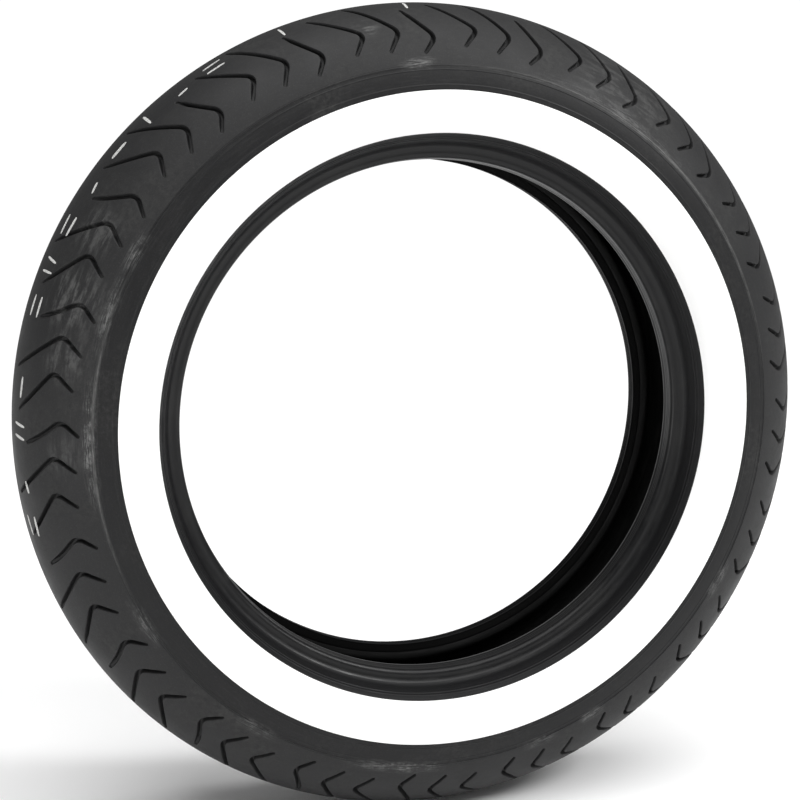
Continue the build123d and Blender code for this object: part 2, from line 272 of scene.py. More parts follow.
def path_normals(path):
    """The direction across a groove at each point of its centreline, longer where it turns."""
    normals = []
    for i, (p, _, _) in enumerate(path):
        before = (p - path[i - 1][0]).normalized() if i else None
        after = (path[i + 1][0] - p).normalized() if i + 1 < len(path) else None
        before = before or after
        after = after or before
        along = (before + after).normalized()
        normal = Vector((-along.y, along.x))
        normals.append(normal / max(0.4, normal.dot(Vector((-before.y, before.x)))))
    return normals


def hook_loops(path):
    """Closed loops of tread points round a groove, one for each level."""
    normals = path_normals(path)
    loops = []
    for wide, deep in GROOVE_LEVELS:
        left, right = [], []
        for (p, half, depth), normal in zip(path, normals):
            left.append((*(p + normal * half * wide), depth * deep))
            right.append((*(p - normal * half * wide), depth * deep))
        loops.append(left + cap(path, -1, wide, deep) + right[::-1] + cap(path, 0, wide, deep))
    return loops


def cap(path, end, wide, deep):
    """Three points round a groove's end."""
    p, half, depth = path[end]
    inner = path[-2][0] if end else path[1][0]
    out = (p - inner).normalized()
    left = Vector((-out.y, out.x))
    points = []
    for angle in (45, 0, -45):
        a = radians(angle)
        q = p + (out * cos(a) + left * sin(a)) * half * wide
        points.append((*q, depth * deep))
    return points


def groove_faces(points, loops):
    """Adds a groove's points to the tread's, and gives the faces of its walls and floor."""
    faces = []
    starts = []
    for loop in loops:
        starts.append(len(points))
        points.extend(loop)
    size = len(loops[0])
    for a, b in zip(starts, starts[1:]):
        for i in range(size):
            j = (i + 1) % size
            faces.append((a + i, a + j, b + j, b + i))
    floor = starts[-1]
    side = (size - 6) // 2
    first_right = side + 3
    for i in range(side - 1):
        mirror = first_right + side - 1 - i
        faces.append((floor + i, floor + i + 1, floor + mirror - 1, floor + mirror))
    faces.append(tuple(floor + i for i in range(side - 1, first_right + 1)))
    faces.append((floor,) + tuple(floor + i for i in range(first_right + side - 1, size)))
    return faces


def cell_edge(s):
    """u of the line between two groups of grooves."""
    for (s0, u0), (s1, u1) in zip(CELL_EDGE, CELL_EDGE[1:]):
        if s <= s1:
            return u0 + (u1 - u0) * (s - s0) / (s1 - s0)
    return CELL_EDGE[-1][1]


def cell_border():
    """The closed line of (u, s) round one group's surface."""
    left = []
    for i in range(ROWS + 1):
        s = EDGE_S * i / ROWS
        left.append((cell_edge(s), s))
    right = [(u + PITCH_MM, s) for u, s in left]
    bottom = [(left[0][0] + PITCH_MM * i / COLUMNS, 0.0) for i in range(1, COLUMNS)]
    top = [(left[-1][0] + PITCH_MM * i / COLUMNS, EDGE_S) for i in range(1, COLUMNS)]
    return [Vector(p) for p in left[:1] + bottom + right + top[::-1] + left[:0:-1]]


def inside(p, ring):
    """Whether a point is inside a closed line."""
    hit = False
    x, y = p
    for a, b in zip(ring, ring[1:] + ring[:1]):
        if (a[1] > y) != (b[1] > y) and x < (b[0] - a[0]) * (y - a[1]) / (b[1] - a[1]) + a[0]:
            hit = not hit
    return hit


def surface_points(rims):
    """(u, s) points that fill a group's surface between the grooves, in staggered rows."""
    near = [p for rim in rims for p in rim]
    points = []
    for i in range(1, ROWS):
        s = EDGE_S * i / ROWS
        shift = 0.5 * (i % 2) / COLUMNS
        for j in range(1, COLUMNS):
            p = Vector((cell_edge(s) + PITCH_MM * (j / COLUMNS + shift * (1 - j / COLUMNS)), s))
            if min((p - q).length for q in near) > RIM_CLEARANCE and not any(inside(p, rim) for rim in rims):
                points.append(p)
    return points


def ring_edges(first, count):
    return [(first + i, first + (i + 1) % count) for i in range(count)]


def tread_cell():
    """One group's surface and grooves on one side: tread points and faces."""
    border = cell_border()
    flat = list(border)
    edges = ring_edges(0, len(border))
    grooves = [hook_loops(hook_path(hook)) for hook in HOOKS]
    rims = []
    for loops in grooves:
        rim = [Vector(p[:2]) for p in loops[0]]
        edges += ring_edges(len(flat), len(rim))
        flat += rim
        rims.append(rim)
    flat += surface_points(rims)
    corners, _, triangles, *_ = geometry.delaunay_2d_cdt(flat, edges, [], 0, 1e-6)
    faces = []
    for face in triangles:
        centre = sum((corners[i] for i in face), Vector((0, 0))) / len(face)
        if inside(centre, border) and not any(inside(centre, rim) for rim in rims):
            faces.append(tuple(face))
    points = [(p.x, p.y, 0.0) for p in corners]
    for loops in grooves:
        faces += groove_faces(points, loops)
    return points, faces


def add_strip(bm, outline, closed=True):
    """Faces of an outline turned round the axle, in line with the columns of the tread's edge."""
    first = SIDE_PHASE[-1] + cell_edge(EDGE_S) / MM_PER_DEG
    columns = []
    for k in range(SEGMENTS):
        turn = first + 360.0 * k / SEGMENTS
        columns.append([bm.verts.new(placed(y, r, turn)) for y, r in outline])
    count = len(outline)
    last = count if closed else count - 1
    for k in range(SEGMENTS):
        a, b = columns[k], columns[(k + 1) % SEGMENTS]
        for i in range(last):
            j = (i + 1) % count
            bm.faces.new((a[i], a[j], b[j], b[i]))


def lathe(name, outline, side=1):
    """A ring-shaped piece with the given section, on one side of the tyre."""
    bm = bmesh.new()
    add_strip(bm, [(side * y, r) for y, r in outline])
    return finish_mesh(name, bm)


def tread_mesh():
    """The tread rubber: both sides' groups of grooves, closed by its back on the base and casing."""
    points, faces = tread_cell()
    bm = bmesh.new()
    for side in (-1, 1):
        for group in range(GROUPS):
            phase = SIDE_PHASE[side] + group * PITCH
            made = [bm.verts.new(on_tread(u, s, depth, side, phase)) for u, s, depth in points]
            for face in faces:
                corners = [made[i] for i in face]
                bm.faces.new(corners if side > 0 else corners[::-1])
    under = [at((0, WIDE_R), HALF_WIDTH, WING_ANGLE)]
    under += arc_points((0, CASING_CROWN_R), CASING_CROWN_ARC, WING_FOOT_ANGLE, BASE_END, 4)
    under += arc_points((0, CASING_CROWN_R), CASING_CROWN_ARC + TREAD_LIFT, BASE_END, 0, 6)
    under += [(-y, r) for y, r in reversed(under[:-1])]
    add_strip(bm, under, closed=False)
    bmesh.ops.remove_doubles(bm, verts=bm.verts, dist=WELD)
    return bm


# ---------------------------------------------------------------- sidewalls and beads

SHOULDER_STEPS, RIM_STEPS, SEAT_STEPS = 70, 44, 24


def rib_height(ribs, place):
    """How high the ribs, which have smooth sides, stand at a place along a section line."""
    height = 0.0
    for middle, half, top in ribs:
        t = abs(place - middle) / half
        if t < 1:
            height += top * (0.5 + 0.5 * cos(pi * t))
    return height


def shoulder_points():
    """The black sidewall above the white band, with its mould ribs."""
    end = radians(WHITE_START) * HALF_WIDTH
    points = []
    for i in range(SHOULDER_STEPS + 1):
        s = EDGE_S + (end - EDGE_S) * i / SHOULDER_STEPS
        lift = rib_height(SHOULDER_RIBS, s)
        points.append(at((0, WIDE_R), HALF_WIDTH + lift, degrees(s / HALF_WIDTH)))
    return points


def lower_points():
    """The black sidewall under the white band, with the rim line's ribs."""
    points = []
    for i in range(RIM_STEPS + 1):
        angle = WHITE_END + (FLANGE_SEEN - WHITE_END) * i / RIM_STEPS
        lift = rib_height(RIM_RIBS, radians(angle - WHITE_END) * LOWER_ARC)
        points.append(at(LOWER_C, LOWER_ARC + lift, angle))
    return points + arc_points(FLANGE_C, FLANGE_ARC, FLANGE_SEEN - 180, CHAFER_TOP, 0.8)[1:]


def white_line(offset, step=1.6):
    """The white band's line, moved out from the sidewall's surface by an offset."""
    line = arc_points((0, WIDE_R), HALF_WIDTH + offset, WHITE_START, 90, step)
    return line + arc_points(LOWER_C, LOWER_ARC + offset, 90, WHITE_END, step)[1:]


def sidewall_outline():
    """The black sidewall: its outer surface with the white band's seat, then its back on the casing."""
    back = arc_points(FLANGE_C, FLANGE_ARC + CHAFER_SIDE, CHAFER_TOP, FLANGE_SEEN - 180, 2)
    back += arc_points(LOWER_C, LOWER_ARC - CHAFER_SIDE, FLANGE_SEEN, TURN_UP_END, 3)[1:]
    back += arc_points(LOWER_C, CASING_LOWER_ARC, TURN_UP_END, 90, 4)
    back += arc_points((CASING_SHOULDER_Y, WIDE_R), CASING_SHOULDER_ARC, 90, CASING_JOIN, 4)[1:]
    back += arc_points((0, CASING_CROWN_R), CASING_CROWN_ARC, CASING_JOIN, WING_FOOT_ANGLE, 4)[1:]
    return shoulder_points() + white_line(-WHITE_DEPTH) + lower_points() + back


def white_outline():
    """The white band: a little proud of the sidewall, with rounded edges."""
    face = white_line(WHITE_PROUD, 1.2)
    foot = white_line(0.0)
    soft_start = [foot[0], blend(foot[0], face[0], 0.75), blend(face[0], face[1], 0.3)]
    soft_end = [blend(face[-1], face[-2], 0.3), blend(foot[-1], face[-1], 0.75), foot[-1]]
    return soft_start + face[1:-1] + soft_end + white_line(-WHITE_DEPTH)[::-1]


def seat_points(heel_y):
    """The bead seat from the heel inward, with two sealing ribs."""
    points = []
    for i in range(1, SEAT_STEPS + 1):
        y = heel_y + (SEAT_END_Y - heel_y) * i / SEAT_STEPS
        points.append((y, SEAT_R - rib_height(SEAT_RIBS, y)))
    return points


def chafer_outline():
    """The strip that meets the rim: flange hollow, heel, seat and toe, then its back on the plies."""
    heel = (RIM_HALF_WIDTH - HEEL_ARC, SEAT_R + HEEL_ARC)
    front = arc_points(FLANGE_C, FLANGE_ARC, CHAFER_TOP, -90, 0.8) + [(RIM_HALF_WIDTH, heel[1])]
    front += arc_points(heel, HEEL_ARC, 90, 180, 0.7)[1:] + seat_points(heel[0])
    ply_y = CORE_LEFT - PLIES
    back = [(ply_y - LINER, BEND_R), (ply_y, BEND_R), (ply_y, CORNER_R)]
    round_wires = CORE_CORNER + PLIES
    back += arc_points((CORE_LEFT + CORE_CORNER, CORNER_R), round_wires, 270, 180, 1)[1:]
    back += arc_points((CORE_RIGHT - CORE_CORNER, CORNER_R), round_wires, 180, 90, 1)
    back += arc_points(FLANGE_C, FLANGE_ARC + CHAFER_SIDE, -90, CHAFER_TOP, 1)
    return front + list(TOE + TOE_BACK) + back


def casing_line(inset):
    """A line inside the casing's outer surface, from bead to bead over the crown."""
    half = arc_points((0, CASING_CROWN_R), CASING_CROWN_ARC - inset, 0, CASING_JOIN, 3)
    half += arc_points((CASING_SHOULDER_Y, WIDE_R), CASING_SHOULDER_ARC - inset, CASING_JOIN, 90, 3)[1:]
    half += arc_points(LOWER_C, CASING_LOWER_ARC - inset, 90, BEND_SEEN, 3)[1:]
    half += arc_points(BEND_C, BEND_ARC + inset, BEND_SEEN + 180, 270, 3)[1:]
    return [(-y, r) for y, r in reversed(half[1:])] + half


def liner_outline():
    """The airtight skin: its cavity side, then its back on the plies."""
    return casing_line(PLIES + LINER) + casing_line(PLIES)[::-1]


# ---------------------------------------------------------------- material nodes

Place = namedtuple("Place", "position x y z radius")
RING_R = 250.0                   # where a drawn out noise has its full size round the tyre


class Nodes:
    """A material's node tree, with short calls for the nodes used here."""

    def __init__(self, name):
        self.material = bpy.data.materials.new(name)
        self.material.use_nodes = True
        self.tree = self.material.node_tree
        self.shader = self.tree.nodes["Principled BSDF"]

    def add(self, kind, **values):
        node = self.tree.nodes.new(kind)
        for key, value in values.items():
            setattr(node, key, value)
        return node

    def join(self, out, into):
        self.tree.links.new(out, into)

    def value(self, operation, a, b=None):
        """A Math node on one or two values, each a number or another node's output."""
        node = self.add("ShaderNodeMath", operation=operation)
        for slot, item in zip(node.inputs, (a, b)):
            if item is None:
                continue
            if isinstance(item, (int, float)):
                slot.default_value = item
            else:
                self.join(item, slot)
        return node.outputs[0]

    def times(self, a, b):
        return self.value("MULTIPLY", a, b)

    def mix(self, factor, a, b):
        """Colour a, turning into colour b as the factor goes from 0 to 1."""
        node = self.add("ShaderNodeMix", data_type="RGBA")
        for slot, item in zip((node.inputs[0], node.inputs[6], node.inputs[7]), (factor, a, b)):
            if isinstance(item, tuple):
                slot.default_value = (*item, 1.0)
            else:
                self.join(item, slot)
        return node.outputs[2]

    def noise(self, vector, scale, detail=4.0, rough=0.55):
        node = self.add("ShaderNodeTexNoise")
        node.inputs["Scale"].default_value = scale
        node.inputs["Detail"].default_value = detail
        node.inputs["Roughness"].default_value = rough
        self.join(vector, node.inputs["Vector"])
        return node.outputs["Fac"]

    def stripes(self, vector, scale, distortion=0.0):
        """Soft stripes round the tyre."""
        node = self.add("ShaderNodeTexWave", wave_type="BANDS", bands_direction="Y", wave_profile="SIN")
        node.inputs["Scale"].default_value = scale
        node.inputs["Distortion"].default_value = distortion
        self.join(vector, node.inputs["Vector"])
        return node.outputs["Fac"]

    def band(self, value, low, high, out_low=0.0, out_high=1.0):
        """Value between low and high turned into out_low to out_high, smoothly."""
        node = self.add("ShaderNodeMapRange", interpolation_type="SMOOTHSTEP")
        self.join(value, node.inputs["Value"])
        for key, number in (("From Min", low), ("From Max", high), ("To Min", out_low), ("To Max", out_high)):
            node.inputs[key].default_value = number
        return node.outputs["Result"]

    def near(self, value, centre, half):
        """1 where the value is at the centre, 0 further than half from it."""
        gap = self.value("ABSOLUTE", self.value("SUBTRACT", value, centre))
        return self.band(gap, 0.0, half, 1.0, 0.0)

    def position(self):
        return self.add("ShaderNodeTexCoord").outputs["Object"]

    def place(self):
        """The position in the tyre's frame, its x, y and z, and its radius from the axle, in metres."""
        position = self.position()
        apart = self.add("ShaderNodeSeparateXYZ")
        self.join(position, apart.inputs[0])
        x, y, z = apart.outputs
        radius = self.value("SQRT", self.value("ADD", self.times(x, x), self.times(z, z)))
        return Place(position, x, y, z, radius)

    def ring_vector(self, p, stretch):
        """A vector for noise drawn out round the tyre by the stretch."""
        ring = self.add("ShaderNodeCombineXYZ")
        self.join(p.radius, ring.inputs[0])
        shrunk = self.value("DIVIDE", RING_R * MM / stretch, p.radius)
        self.join(self.times(p.x, shrunk), ring.inputs[1])
        self.join(self.times(p.z, shrunk), ring.inputs[2])
        both = self.add("ShaderNodeVectorMath", operation="ADD")
        self.join(ring.outputs[0], both.inputs[0])
        across = self.add("ShaderNodeCombineXYZ")
        self.join(p.y, across.inputs[0])
        self.join(across.outputs[0], both.inputs[1])
        return both.outputs[0]

    def bump(self, height, distance, strength, under=None):
        node = self.add("ShaderNodeBump")
        node.inputs["Strength"].default_value = strength
        node.inputs["Distance"].default_value = distance
        self.join(height, node.inputs["Height"])
        if under is not None:
            self.join(under, node.inputs["Normal"])
        return node.outputs["Normal"]

    def finish(self, color, rough, normal, specular):
        """Joins what is a node's output to the shader, and sets what is a number."""
        keys = ("Base Color", "Roughness", "Normal", "Specular IOR Level")
        for key, item in zip(keys, (color, rough, normal, specular)):
            if isinstance(item, float):
                self.shader.inputs[key].default_value = item
            elif item is not None:
                self.join(item, self.shader.inputs[key])
        return self.material


# ---------------------------------------------------------------- materials

def grey(level):
    return (level, level, level)


TREAD_BLACK = (0.0145, 0.0145, 0.015)
TREAD_DUST = (0.034, 0.034, 0.033)
# pale grey of the tread's patches, which are partly dust and partly painted highlights
PALE_DUST_AND_HIGHLIGHT = (0.11, 0.11, 0.108)
SIDE_BLACK = (0.009, 0.009, 0.0095)
SIDE_DUST = (0.032, 0.032, 0.031)
# pale grey of the shoulder's scuffs and of painted highlights
SCUFF_AND_HIGHLIGHT_GREY = (0.2, 0.2, 0.197)
BEAD_BLACK = (0.0045, 0.0045, 0.005)
WHITE = (0.95, 0.95, 0.945)
WHITE_SOILED = (0.91, 0.91, 0.905)
WHITE_RUBBED = (0.82, 0.82, 0.81)
PAINT_WHITE = (0.6, 0.6, 0.585)
BELT_CORD = (0.2, 0.17, 0.12)
PLY_CORD = (0.26, 0.22, 0.16)
BRONZE_DARK = (0.42, 0.33, 0.2)
BRONZE = (0.6, 0.52, 0.4)

# pale patches of the tread, partly dust and partly painted highlight: (turn, y, r, reach, strength)
TREAD_DUST_AND_HIGHLIGHTS = (
    (60, -52, 302, 26, 0.45), (70, -55, 299, 34, 0.6), (78, -58, 295, 26, 0.45),
    (11, -47, 306, 14, 0.6), (92, -61, 291, 22, 0.3), (-30, -58, 295, 60, 0.3),
)
# rubbed stretches of the shoulder, partly painted highlights: (turn of the middle, half length in degrees,
# strength)
SCUFFS_AND_HIGHLIGHTS = (
    (5, 4, 0.7), (60, 5, 0.6), (70, 9, 0.6), (90, 13, 1.0), (120, 6, 0.6), (146, 5, 0.5), (172, 11, 0.8),
    (-163, 4, 0.6), (-153, 3, 0.8), (-121, 5, 0.8), (-32, 24, 0.4),
)
# the same for the painted highlight, a pale line along the ridge
RIDGE_HIGHLIGHTS = ((-40, 52, 0.62), (88, 34, 0.5))
LIP_Y, LIP_R = 30.2, 202.2       # the middle of the toe's lip
SCUFF_AND_HIGHLIGHT_S = 91.0
SCUFF_AND_HIGHLIGHT_R = WIDE_R + HALF_WIDTH * cos(SCUFF_AND_HIGHLIGHT_S / HALF_WIDTH)
RIDGE_R = WIDE_R + HALF_WIDTH * cos(RIDGE_S / HALF_WIDTH)


def dust_and_highlight_patch(n, position, turn, y, r, reach, break_up):
    """A pale patch round a point of the surface, broken up by a noise: partly dust, partly painted highlight.
    """
    node = n.add("ShaderNodeVectorMath", operation="DISTANCE")
    n.join(position, node.inputs[0])
    node.inputs[1].default_value = placed(y, r, turn)
    fade = n.band(node.outputs["Value"], reach * 0.25 * MM, reach * MM, 1.0, 0.0)
    return n.times(fade, break_up)


def by_side(n, p, left, right):
    """One value on the tyre's left side (-y), another on its right side."""
    return n.band(p.y, 0.0, 1 * MM, left, right)


def stretches(n, turn, rows):
    """The strongest of some stretches round the tyre, each with a middle, a half length and a strength."""
    strongest = 0.0
    for middle, half, strength in rows:
        strongest = n.value("MAXIMUM", n.times(n.near(turn, middle, half), strength), strongest)
    return strongest


def scuffed_and_highlit(n, p, color):
    """The colour with rubbed streaks and painted highlights on the shoulder and a painted highlight, a pale
    line, on the ridge, mostly on the left.
    """
    turn = n.times(n.value("ARCTAN2", n.times(p.x, -1.0), p.z), degrees(1))
    streaks = n.band(n.noise(n.ring_vector(p, 9.0), 900.0, 4.0, 0.7), 0.4, 0.62)
    spots = n.band(n.noise(p.position, 90.0, 6.0, 0.8), 0.38, 0.6, 0.1, 1.0)
    # rubbed streaks on the shoulder, partly painted highlights
    scuff_and_highlight_mask = n.times(stretches(n, turn, SCUFFS_AND_HIGHLIGHTS), n.near(p.radius, SCUFF_AND_HIGHLIGHT_R * MM, 7 * MM))
    scuff_and_highlight_mask = n.times(n.times(streaks, spots), scuff_and_highlight_mask)
    # painted highlight: a pale line along the ridge
    line = n.times(n.near(p.radius, RIDGE_R * MM, 2.2 * MM), n.band(streaks, 0.0, 1.0, 0.45, 1.0))
    line = n.times(line, stretches(n, turn, RIDGE_HIGHLIGHTS))
    both = n.value("MAXIMUM", scuff_and_highlight_mask, line)
    return n.mix(n.times(both, by_side(n, p, 1.0, 0.25)), color, SCUFF_AND_HIGHLIGHT_GREY)


def tread_rubber():
    n = Nodes("tread_rubber")
    p = n.place()
    grain = n.noise(p.position, 2600.0, 3.0)
    cloudy = n.noise(p.position, 22.0, 5.0, 0.6)
    fine = n.noise(p.position, 240.0, 4.0, 0.65)
    dust = n.times(n.band(cloudy, 0.42, 0.78), n.band(fine, 0.3, 0.75))
    color = n.mix(dust, TREAD_BLACK, TREAD_DUST)
    speckle = n.noise(p.position, 900.0, 4.0, 0.75)
    color = n.mix(n.band(speckle, 0.5, 0.72, 0.0, 0.5), color, grey(0.04))
    streak = n.noise(n.ring_vector(p, 6.0), 420.0, 3.0)
    color = n.mix(n.band(streak, 0.55, 0.8, 0.0, 0.3), color, grey(0.03))
    # rubbed streaks and painted highlights on the shoulder and ridge
    color = scuffed_and_highlit(n, p, color)
    patch_noise = n.noise(n.ring_vector(p, 3.0), 160.0, 4.0, 0.6)
    patchy = n.times(n.band(patch_noise, 0.42, 0.62), n.band(fine, 0.3, 0.6, 0.3, 1.0))
    # pale patches on the tread: partly dust, partly painted highlight
    for turn, y, r, reach, strength in TREAD_DUST_AND_HIGHLIGHTS:
        mask = n.times(dust_and_highlight_patch(n, p.position, turn, y, r, reach, patchy), strength)
        color = n.mix(mask, color, PALE_DUST_AND_HIGHLIGHT)
    rough = n.band(cloudy, 0.3, 0.7, 0.5, 0.66)
    normal = n.bump(grain, 0.12 * MM, 0.5, n.bump(fine, 0.2 * MM, 0.35))
    return n.finish(color, rough, normal, 0.25)


def sidewall_rubber():
    n = Nodes("sidewall_rubber")
    p = n.place()
    cloudy = n.noise(p.position, 16.0, 5.0, 0.6)
    fine = n.noise(p.position, 300.0, 4.0, 0.65)
    rings = n.noise(n.ring_vector(p, 12.0), 700.0, 4.0, 0.6)
    dust = n.times(n.band(cloudy, 0.45, 0.75), n.band(fine, 0.35, 0.8))
    color = n.mix(dust, SIDE_BLACK, SIDE_DUST)
    speckle = n.noise(p.position, 900.0, 4.0, 0.75)
    color = n.mix(n.band(speckle, 0.5, 0.72, 0.0, 0.4), color, grey(0.03))
    color = n.mix(n.band(rings, 0.5, 0.8, 0.0, 0.5), color, grey(0.026))
    # rubbed streaks and painted highlights on the shoulder and ridge
    color = scuffed_and_highlit(n, p, color)
    under_band = n.band(p.radius, (WHITE_INNER_R - 4) * MM, (WHITE_INNER_R + 1) * MM, 1.0, 0.0)
    color = n.mix(under_band, color, BEAD_BLACK)
    rough = n.band(rings, 0.3, 0.7, 0.42, 0.58)
    normal = n.bump(fine, 0.12 * MM, 0.4, n.bump(rings, 0.1 * MM, 0.5))
    return n.finish(color, rough, normal, 0.22)


def white_rubber():
    n = Nodes("white_rubber")
    p = n.place()
    cloudy = n.noise(p.position, 9.0, 4.0, 0.5)
    fine = n.noise(p.position, 900.0, 3.0)
    rings = n.noise(n.ring_vector(p, 14.0), 500.0, 3.0)
    color = n.mix(n.band(cloudy, 0.35, 0.75), WHITE, WHITE_SOILED)
    color = n.mix(n.band(rings, 0.6, 0.85, 0.0, 0.2), color, WHITE_RUBBED)
    rough = n.band(cloudy, 0.3, 0.7, 0.38, 0.5)
    normal = n.bump(fine, 0.08 * MM, 0.3, n.bump(rings, 0.06 * MM, 0.3))
    return n.finish(color, rough, normal, 0.4)


def bead_rubber():
    """Black with fine rings, a painted highlight on the left toe's lip and painted shade where it turns into
    the cavity.
    """
    n = Nodes("bead_rubber")
    p = n.place()
    cloudy = n.noise(p.position, 20.0, 4.0, 0.6)
    rings = n.noise(n.ring_vector(p, 16.0), 900.0, 4.0, 0.65)
    weave = n.noise(p.position, 1500.0, 2.0)
    across = n.value("ABSOLUTE", p.y)
    color = n.mix(n.band(cloudy, 0.4, 0.75), BEAD_BLACK, grey(0.009))
    color = n.mix(n.band(rings, 0.52, 0.8, 0.0, 0.6), color, grey(0.016))
    # painted highlight on the left toe's lip, on the left side only
    lip_highlight = n.times(n.near(p.radius, LIP_R * MM, 0.7 * MM), n.near(across, LIP_Y * MM, 1.2 * MM))
    color = n.mix(n.times(lip_highlight, by_side(n, p, 0.8, 0.0)), color, grey(0.12))
    # painted shade where the bead turns into the cavity, on both beads
    past_toe = n.band(across, (LIP_Y + 1) * MM, (LIP_Y + 2) * MM, 1.0, 0.0)
    inner = n.times(past_toe, n.band(p.radius, (SEAT_R - 0.4) * MM, (SEAT_R + 0.4) * MM))
    color = n.mix(inner, color, grey(0.004))
    rough = n.value("MAXIMUM", n.band(rings, 0.3, 0.7, 0.28, 0.42), n.times(inner, 0.8))
    normal = n.bump(weave, 0.1 * MM, 0.35, n.bump(rings, 0.15 * MM, 0.5))
    on_seat = n.band(p.radius, (SEAT_R + 0.4) * MM, (SEAT_R + 0.8) * MM, 1.0, 0.0)
    right_seat = n.times(by_side(n, p, 0.0, 1.0), on_seat)
    return n.finish(color, rough, normal, n.band(right_seat, 0.0, 1.0, 0.26, 0.03))


def liner_rubber():
    n = Nodes("liner_rubber")
    p = n.place()
    rings = n.noise(n.ring_vector(p, 10.0), 260.0, 3.0)
    ribs = n.stripes(p.position, 60.0, 1.5)
    grain = n.noise(p.position, 500.0, 3.0)
    color = n.mix(n.band(rings, 0.4, 0.8), grey(0.02), grey(0.035))
    normal = n.bump(grain, 0.1 * MM, 0.4, n.bump(ribs, 0.3 * MM, 0.3))
    return n.finish(color, n.band(grain, 0.3, 0.7, 0.55, 0.7), normal, 0.05)


def cord_fabric(name, tone, scale):
    """Rubbered fabric with a cord at each stripe."""
    n = Nodes(name)
    position = n.position()
    cords = n.stripes(position, scale)
    cloudy = n.noise(position, 60.0, 4.0)
    dark = tuple(v * 0.35 for v in tone)
    color = n.mix(cords, dark, tone)
    color = n.mix(n.band(cloudy, 0.3, 0.8, 0.0, 0.4), color, dark)
    return n.finish(color, 0.75, n.bump(cords, 0.3 * MM, 0.6), 0.3)


def base_rubber():
    n = Nodes("base_rubber")
    fine = n.noise(n.position(), 500.0, 4.0)
    color = n.mix(fine, grey(0.016), grey(0.034))
    return n.finish(color, n.band(fine, 0.3, 0.7, 0.55, 0.7), n.bump(fine, 0.1 * MM, 0.4), 0.35)


def bead_wire():
    n = Nodes("bead_wire")
    rings = n.noise(n.ring_vector(n.place(), 20.0), 900.0, 3.0)
    color = n.mix(rings, BRONZE_DARK, BRONZE)
    n.shader.inputs["Metallic"].default_value = 1.0
    return n.finish(color, n.band(rings, 0.3, 0.7, 0.3, 0.45), n.bump(rings, 0.05 * MM, 0.5), 0.5)


def paint():
    n = Nodes("marking_paint")
    worn = n.noise(n.position(), 1100.0, 4.0, 0.7)
    color = n.mix(n.band(worn, 0.5, 0.64, 0.0, 0.85), PAINT_WHITE, grey(0.05))
    return n.finish(color, 0.7, n.bump(worn, 0.1 * MM, 0.4), 0.3)


def floor_material():
    n = Nodes("floor")
    color = n.mix(n.noise(n.position(), 6.0, 3.0), grey(0.96), grey(0.975))
    return n.finish(color, 0.85, None, 0.1)


# ---------------------------------------------------------------- paint marks on the crown

PAINT_LIFT = 0.08                # above the tread's surface
STROKE_STEP = 1.2
# strokes of a mark: (u, s) of the middle, length, width, lean (0 runs across the tyre, 1.57 round it)
MARK_BAR = ((0, 24, 15, 3.4, 1.57),)
MARK_PAIR = ((0, 18, 15, 3.2, 1.57), (0, 29, 15, 2.8, 1.57))
MARK_STROKE = ((0, 23, 17, 1.9, 0.12),)
MARK_STROKES = ((-5, 23, 16, 1.9, 0.1), (4, 23, 16, 1.9, 0.1))
MARK_SHORT = ((0, 28, 9, 2.8, 1.4),)
# (turn, strokes) of each mark
MARK_ROW = (
    (3.5, MARK_STROKE), (21.5, MARK_STROKE), (32.0, MARK_PAIR), (37.5, MARK_SHORT), (43.5, MARK_STROKE),
    (49.0, MARK_BAR), (55.0, MARK_SHORT), (61.0, MARK_PAIR), (67.0, MARK_STROKES), (72.5, MARK_PAIR),
    (83.5, MARK_BAR), (89.5, MARK_STROKES), (97.0, MARK_SHORT), (102.5, MARK_PAIR),
)


def add_stroke(bm, u0, s0, length, width, lean):
    """A thin dash just above the tread's surface, narrower at its ends."""
    count = max(3, round(length / STROKE_STEP))
    rows = []
    for i in range(count + 1):
        t = i / count
        half = width / 2 * min(1.0, 0.55 + 2.2 * min(t, 1 - t))
        s = s0 + (t - 0.5) * length * cos(lean)
        u = u0 + (t - 0.5) * length * sin(lean)
        side_u, side_s = cos(lean) * half, -sin(lean) * half
        row = []
        for k in (-1, 0, 1):
            row.append(bm.verts.new(on_tread(u + k * side_u, s + k * side_s, -PAINT_LIFT, -1, 0.0)))
        rows.append(row)
    for a, b in zip(rows, rows[1:]):
        for k in (0, 1):
            bm.faces.new((a[k], a[k + 1], b[k + 1], b[k]))


def crown_marks():
    """Plain dashes in worn paint along one stretch of the crown."""
    rng = random.Random(7)
    bm = bmesh.new()
    for turn, strokes in MARK_ROW:
        u = turn * MM_PER_DEG
        for du, s, length, width, lean in strokes:
            wobble = rng.uniform(-0.12, 0.12)
            shift = rng.uniform(-1, 1)
            add_stroke(bm, u + du, s + shift, length, width * rng.uniform(0.85, 1.15), lean + wobble)
    return finish_mesh("crown_marks", bm, 60.0, weighted=False)


# ---------------------------------------------------------------- build

def dress(obj, node, material):
    """Puts a piece in the place of a CAD node."""
    obj.data.materials.append(material)
    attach(obj, "root")
    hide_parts(node)


def dress_hidden(material, *nodes):
    """Gives its material to CAD nodes that stay, inside the tyre."""
    for node in nodes:
        for slot in frame["nodes"][node].material_slots:
            slot.material = material


def outer_pieces():
    """The pieces that show, in the place of CAD nodes."""
    dress(finish_mesh("tread", tread_mesh(), 35.0), "tread_cap", tread_rubber())
    sided = (
        ("sidewall_outer", sidewall_outline(), "sidewall", "sidewall_rubber", sidewall_rubber()),
        ("white_band", white_outline(), "whitewall", "white_rubber", white_rubber()),
        ("bead_strip", chafer_outline(), "chafer", "bead_rubber", bead_rubber()),
    )
    for side, word in ((-1, "left"), (1, "right")):
        for name, outline, node, slot, material in sided:
            dress(lathe(f"{name}_{word}", outline, side), f"{node}_{word}", material)
    dress(lathe("liner_skin", liner_outline()), "inner_liner", liner_rubber())


